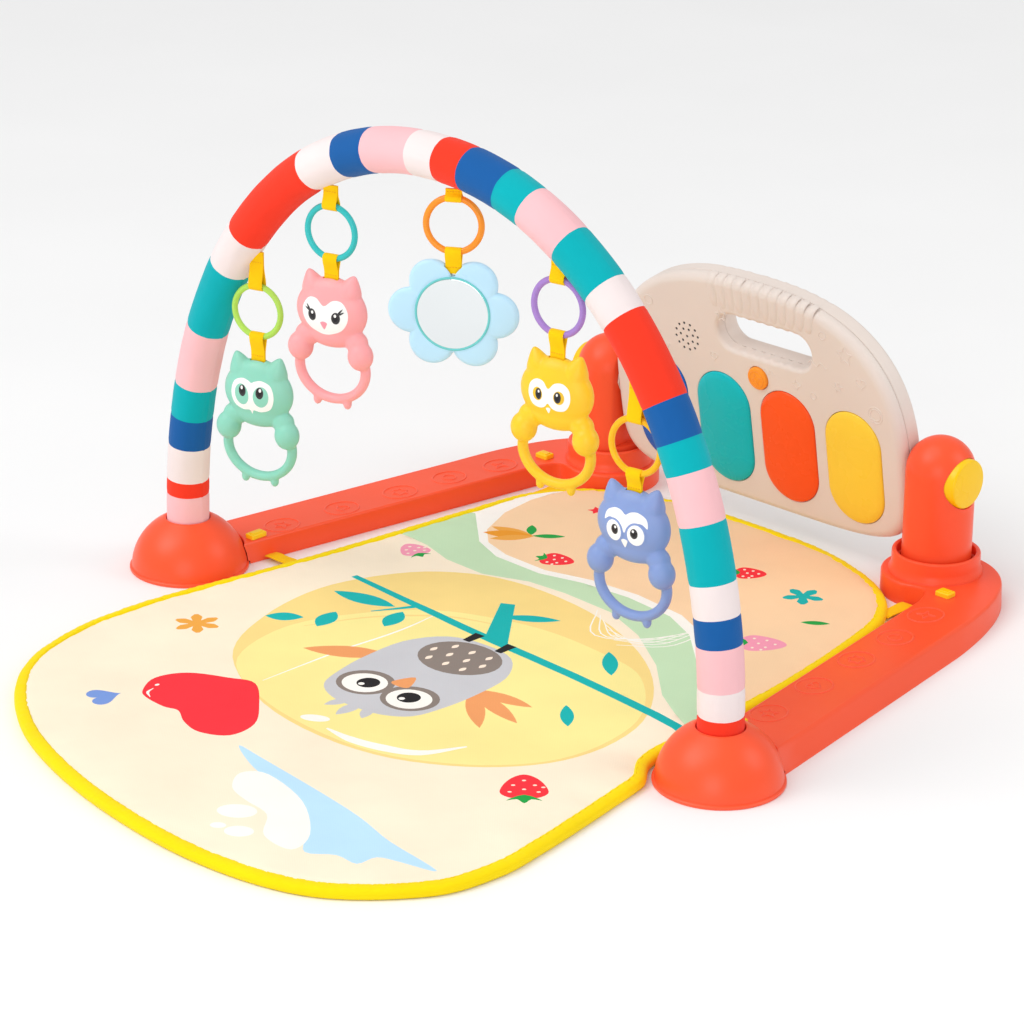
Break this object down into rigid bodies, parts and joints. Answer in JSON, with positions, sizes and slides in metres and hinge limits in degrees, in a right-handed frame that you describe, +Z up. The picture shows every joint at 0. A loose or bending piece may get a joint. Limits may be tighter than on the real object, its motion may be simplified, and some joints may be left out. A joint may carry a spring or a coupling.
{
  "type": "activity play gym",
  "caption": "Baby play gym: padded mat, arch with hanging toys, two base rails and a tilting piano panel with large keys.",
  "frame": {"origin": "on the floor under the middle of the gym's bounding box", "axes": "+Z up, -Y towards the mat's round front, +Y towards the piano, +X to the right seen from the front"},
  "size_m": [0.702, 0.824, 0.443],
  "materials": {
    "base_plastic": "satin moulded",
    "cover_plastic": "matte moulded",
    "yellow_plastic": "satin moulded",
    "panel_plastic": "fine matte moulded",
    "key_blue": "gloss moulded",
    "key_teal": "gloss moulded",
    "key_orange": "gloss moulded",
    "key_yellow": "gloss moulded",
    "orange_plastic": "satin moulded",
    "switch_plastic": "matte moulded",
    "board": "solder mask",
    "speaker_metal": "stamped",
    "battery_wrap": "printed wrap",
    "tube_plastic": "extruded",
    "sleeve_fabric": "woven striped",
    "mat_fabric": "printed padded",
    "yellow_fabric": "woven ribbon",
    "mirror_film": "polished",
    "ring_mint": "satin moulded",
    "ring_pink": "satin moulded",
    "ring_flower": "satin moulded",
    "ring_yellow": "satin moulded",
    "ring_blue": "satin moulded",
    "toy_mint": "satin moulded",
    "toy_pink": "satin moulded",
    "toy_flower": "satin moulded",
    "toy_yellow": "satin moulded",
    "toy_blue": "satin moulded"
  },
  "bodies": {
    "base": {"left_rail_shell": "base_plastic", "left_rail_cover": "cover_plastic", "left_dome": "base_plastic", "left_post": "base_plastic", "left_front_clip": "yellow_plastic", "left_rear_clip": "yellow_plastic", "left_front_tab": "yellow_fabric", "left_rear_tab": "yellow_fabric", "right_rail_shell": "base_plastic", "right_rail_cover": "cover_plastic", "right_dome": "base_plastic", "right_post": "base_plastic", "right_front_clip": "yellow_plastic", "right_rear_clip": "yellow_plastic", "right_front_tab": "yellow_fabric", "right_rear_tab": "yellow_fabric", "play_mat": "mat_fabric"},
    "piano": {"piano_front_shell": "panel_plastic", "piano_back_shell": "panel_plastic", "left_pivot_hub": "panel_plastic", "right_pivot_hub": "panel_plastic", "circuit_board": "board", "speaker": "speaker_metal", "battery_1": "battery_wrap", "battery_2": "battery_wrap", "battery_3": "battery_wrap"},
    "arch": {"arch_tube_left": "tube_plastic", "arch_tube_right": "tube_plastic", "arch_sleeve": "sleeve_fabric", "mint_upper_ribbon": "yellow_fabric", "pink_upper_ribbon": "yellow_fabric", "flower_upper_ribbon": "yellow_fabric", "yellow_upper_ribbon": "yellow_fabric", "blue_upper_ribbon": "yellow_fabric"},
    "battery_cover": {"battery_door": "panel_plastic"},
    "switch_slider": {"power_switch": "switch_plastic"},
    "mode_press": {"mode_button": "orange_plastic"},
    "blue_key_lever": {"blue_key": "key_blue"},
    "teal_key_lever": {"teal_key": "key_teal"},
    "orange_key_lever": {"orange_key": "key_orange"},
    "yellow_key_lever": {"yellow_key": "key_yellow"},
    "left_release": {"left_release_button": "yellow_plastic"},
    "right_release": {"right_release_button": "yellow_plastic"},
    "mint_hanger": {"mint_ring": "ring_mint"},
    "mint_toy": {"mint_lower_ribbon": "yellow_fabric", "mint_owl": "toy_mint"},
    "pink_hanger": {"pink_ring": "ring_pink"},
    "pink_toy": {"pink_lower_ribbon": "yellow_fabric", "pink_owl": "toy_pink"},
    "flower_hanger": {"flower_ring": "ring_flower"},
    "flower_toy": {"flower_lower_ribbon": "yellow_fabric", "mirror_flower": "toy_flower", "flower_mirror": "mirror_film"},
    "yellow_hanger": {"yellow_ring": "ring_yellow"},
    "yellow_toy": {"yellow_lower_ribbon": "yellow_fabric", "yellow_owl": "toy_yellow"},
    "blue_hanger": {"blue_ring": "ring_blue"},
    "blue_toy": {"blue_lower_ribbon": "yellow_fabric", "blue_owl": "toy_blue"}
  },
  "joints": [
    {"name": "piano_tilt", "type": "hinge", "parent": "base", "child": "piano", "pos_m": [0, 0.366, 0.104], "axis": [1, 0, 0], "range_deg": [-30, 30]},
    {"name": "blue_key_press", "type": "slide", "parent": "piano", "child": "blue_key_lever", "axis": [0, 0.9848, 0.1736], "range_m": [0, 0.0025], "stiffness_N_per_m": 300, "springref_m": -0.0008},
    {"name": "teal_key_press", "type": "slide", "parent": "piano", "child": "teal_key_lever", "axis": [0, 0.9848, 0.1736], "range_m": [0, 0.0025], "stiffness_N_per_m": 300, "springref_m": -0.0008},
    {"name": "orange_key_press", "type": "slide", "parent": "piano", "child": "orange_key_lever", "axis": [0, 0.9848, 0.1736], "range_m": [0, 0.0025], "stiffness_N_per_m": 300, "springref_m": -0.0008},
    {"name": "yellow_key_press", "type": "slide", "parent": "piano", "child": "yellow_key_lever", "axis": [0, 0.9848, 0.1736], "range_m": [0, 0.0025], "stiffness_N_per_m": 300, "springref_m": -0.0008},
    {"name": "mode_button_press", "type": "slide", "parent": "piano", "child": "mode_press", "axis": [0, 0.9848, 0.1736], "range_m": [0, 0.0015], "stiffness_N_per_m": 300, "springref_m": -0.0005},
    {"name": "power_switch_slide", "type": "slide", "parent": "piano", "child": "switch_slider", "axis": [1, 0, 0], "range_m": [0, 0.004]},
    {"name": "battery_door_lift", "type": "slide", "parent": "piano", "child": "battery_cover", "axis": [0, 0.9848, 0.1736], "range_m": [0, 0.025]},
    {"name": "left_release_press", "type": "slide", "parent": "base", "child": "left_release", "axis": [1, 0, 0], "range_m": [0, 0.004], "stiffness_N_per_m": 400, "springref_m": -0.001},
    {"name": "right_release_press", "type": "slide", "parent": "base", "child": "right_release", "axis": [-1, 0, 0], "range_m": [0, 0.004], "stiffness_N_per_m": 400, "springref_m": -0.001},
    {"name": "arch_lift", "type": "slide", "parent": "base", "child": "arch", "axis": [0, 0, 1], "range_m": [0, 0.028]},
    {"name": "mint_ring_swing", "type": "hinge", "parent": "arch", "child": "mint_hanger", "pos_m": [-0.207, -0.043, 0.2738], "axis": [0.9613, 0.2756, 0], "range_deg": [-45, 20]},
    {"name": "mint_toy_swing", "type": "hinge", "parent": "mint_hanger", "child": "mint_toy", "pos_m": [-0.207, -0.043, 0.2302], "axis": [0.9613, 0.2756, 0], "range_deg": [-40, 40]},
    {"name": "pink_ring_swing", "type": "hinge", "parent": "arch", "child": "pink_hanger", "pos_m": [-0.1185, -0.043, 0.3608], "axis": [0.9659, 0.2588, 0], "range_deg": [-45, 45]},
    {"name": "pink_toy_swing", "type": "hinge", "parent": "pink_hanger", "child": "pink_toy", "pos_m": [-0.1185, -0.043, 0.3172], "axis": [0.9659, 0.2588, 0], "range_deg": [-40, 40]},
    {"name": "flower_ring_swing", "type": "hinge", "parent": "arch", "child": "flower_hanger", "pos_m": [0.018, -0.043, 0.3968], "axis": [0.848, 0.5299, 0], "range_deg": [-45, 45]},
    {"name": "flower_toy_swing", "type": "hinge", "parent": "flower_hanger", "child": "flower_toy", "pos_m": [0.018, -0.043, 0.3532], "axis": [0.848, 0.5299, 0], "range_deg": [-40, 40]},
    {"name": "yellow_ring_swing", "type": "hinge", "parent": "arch", "child": "yellow_hanger", "pos_m": [0.1285, -0.043, 0.3568], "axis": [0.9848, 0.1736, 0], "range_deg": [-45, 45]},
    {"name": "yellow_toy_swing", "type": "hinge", "parent": "yellow_hanger", "child": "yellow_toy", "pos_m": [0.1285, -0.043, 0.3132], "axis": [0.9848, 0.1736, 0], "range_deg": [-40, 40]},
    {"name": "blue_ring_swing", "type": "hinge", "parent": "arch", "child": "blue_hanger", "pos_m": [0.209, -0.043, 0.2668], "axis": [0.9903, 0.1392, 0], "range_deg": [-45, 45]},
    {"name": "blue_toy_swing", "type": "hinge", "parent": "blue_hanger", "child": "blue_toy", "pos_m": [0.209, -0.043, 0.2232], "axis": [0.9903, 0.1392, 0], "range_deg": [-40, 40]}
  ]
}
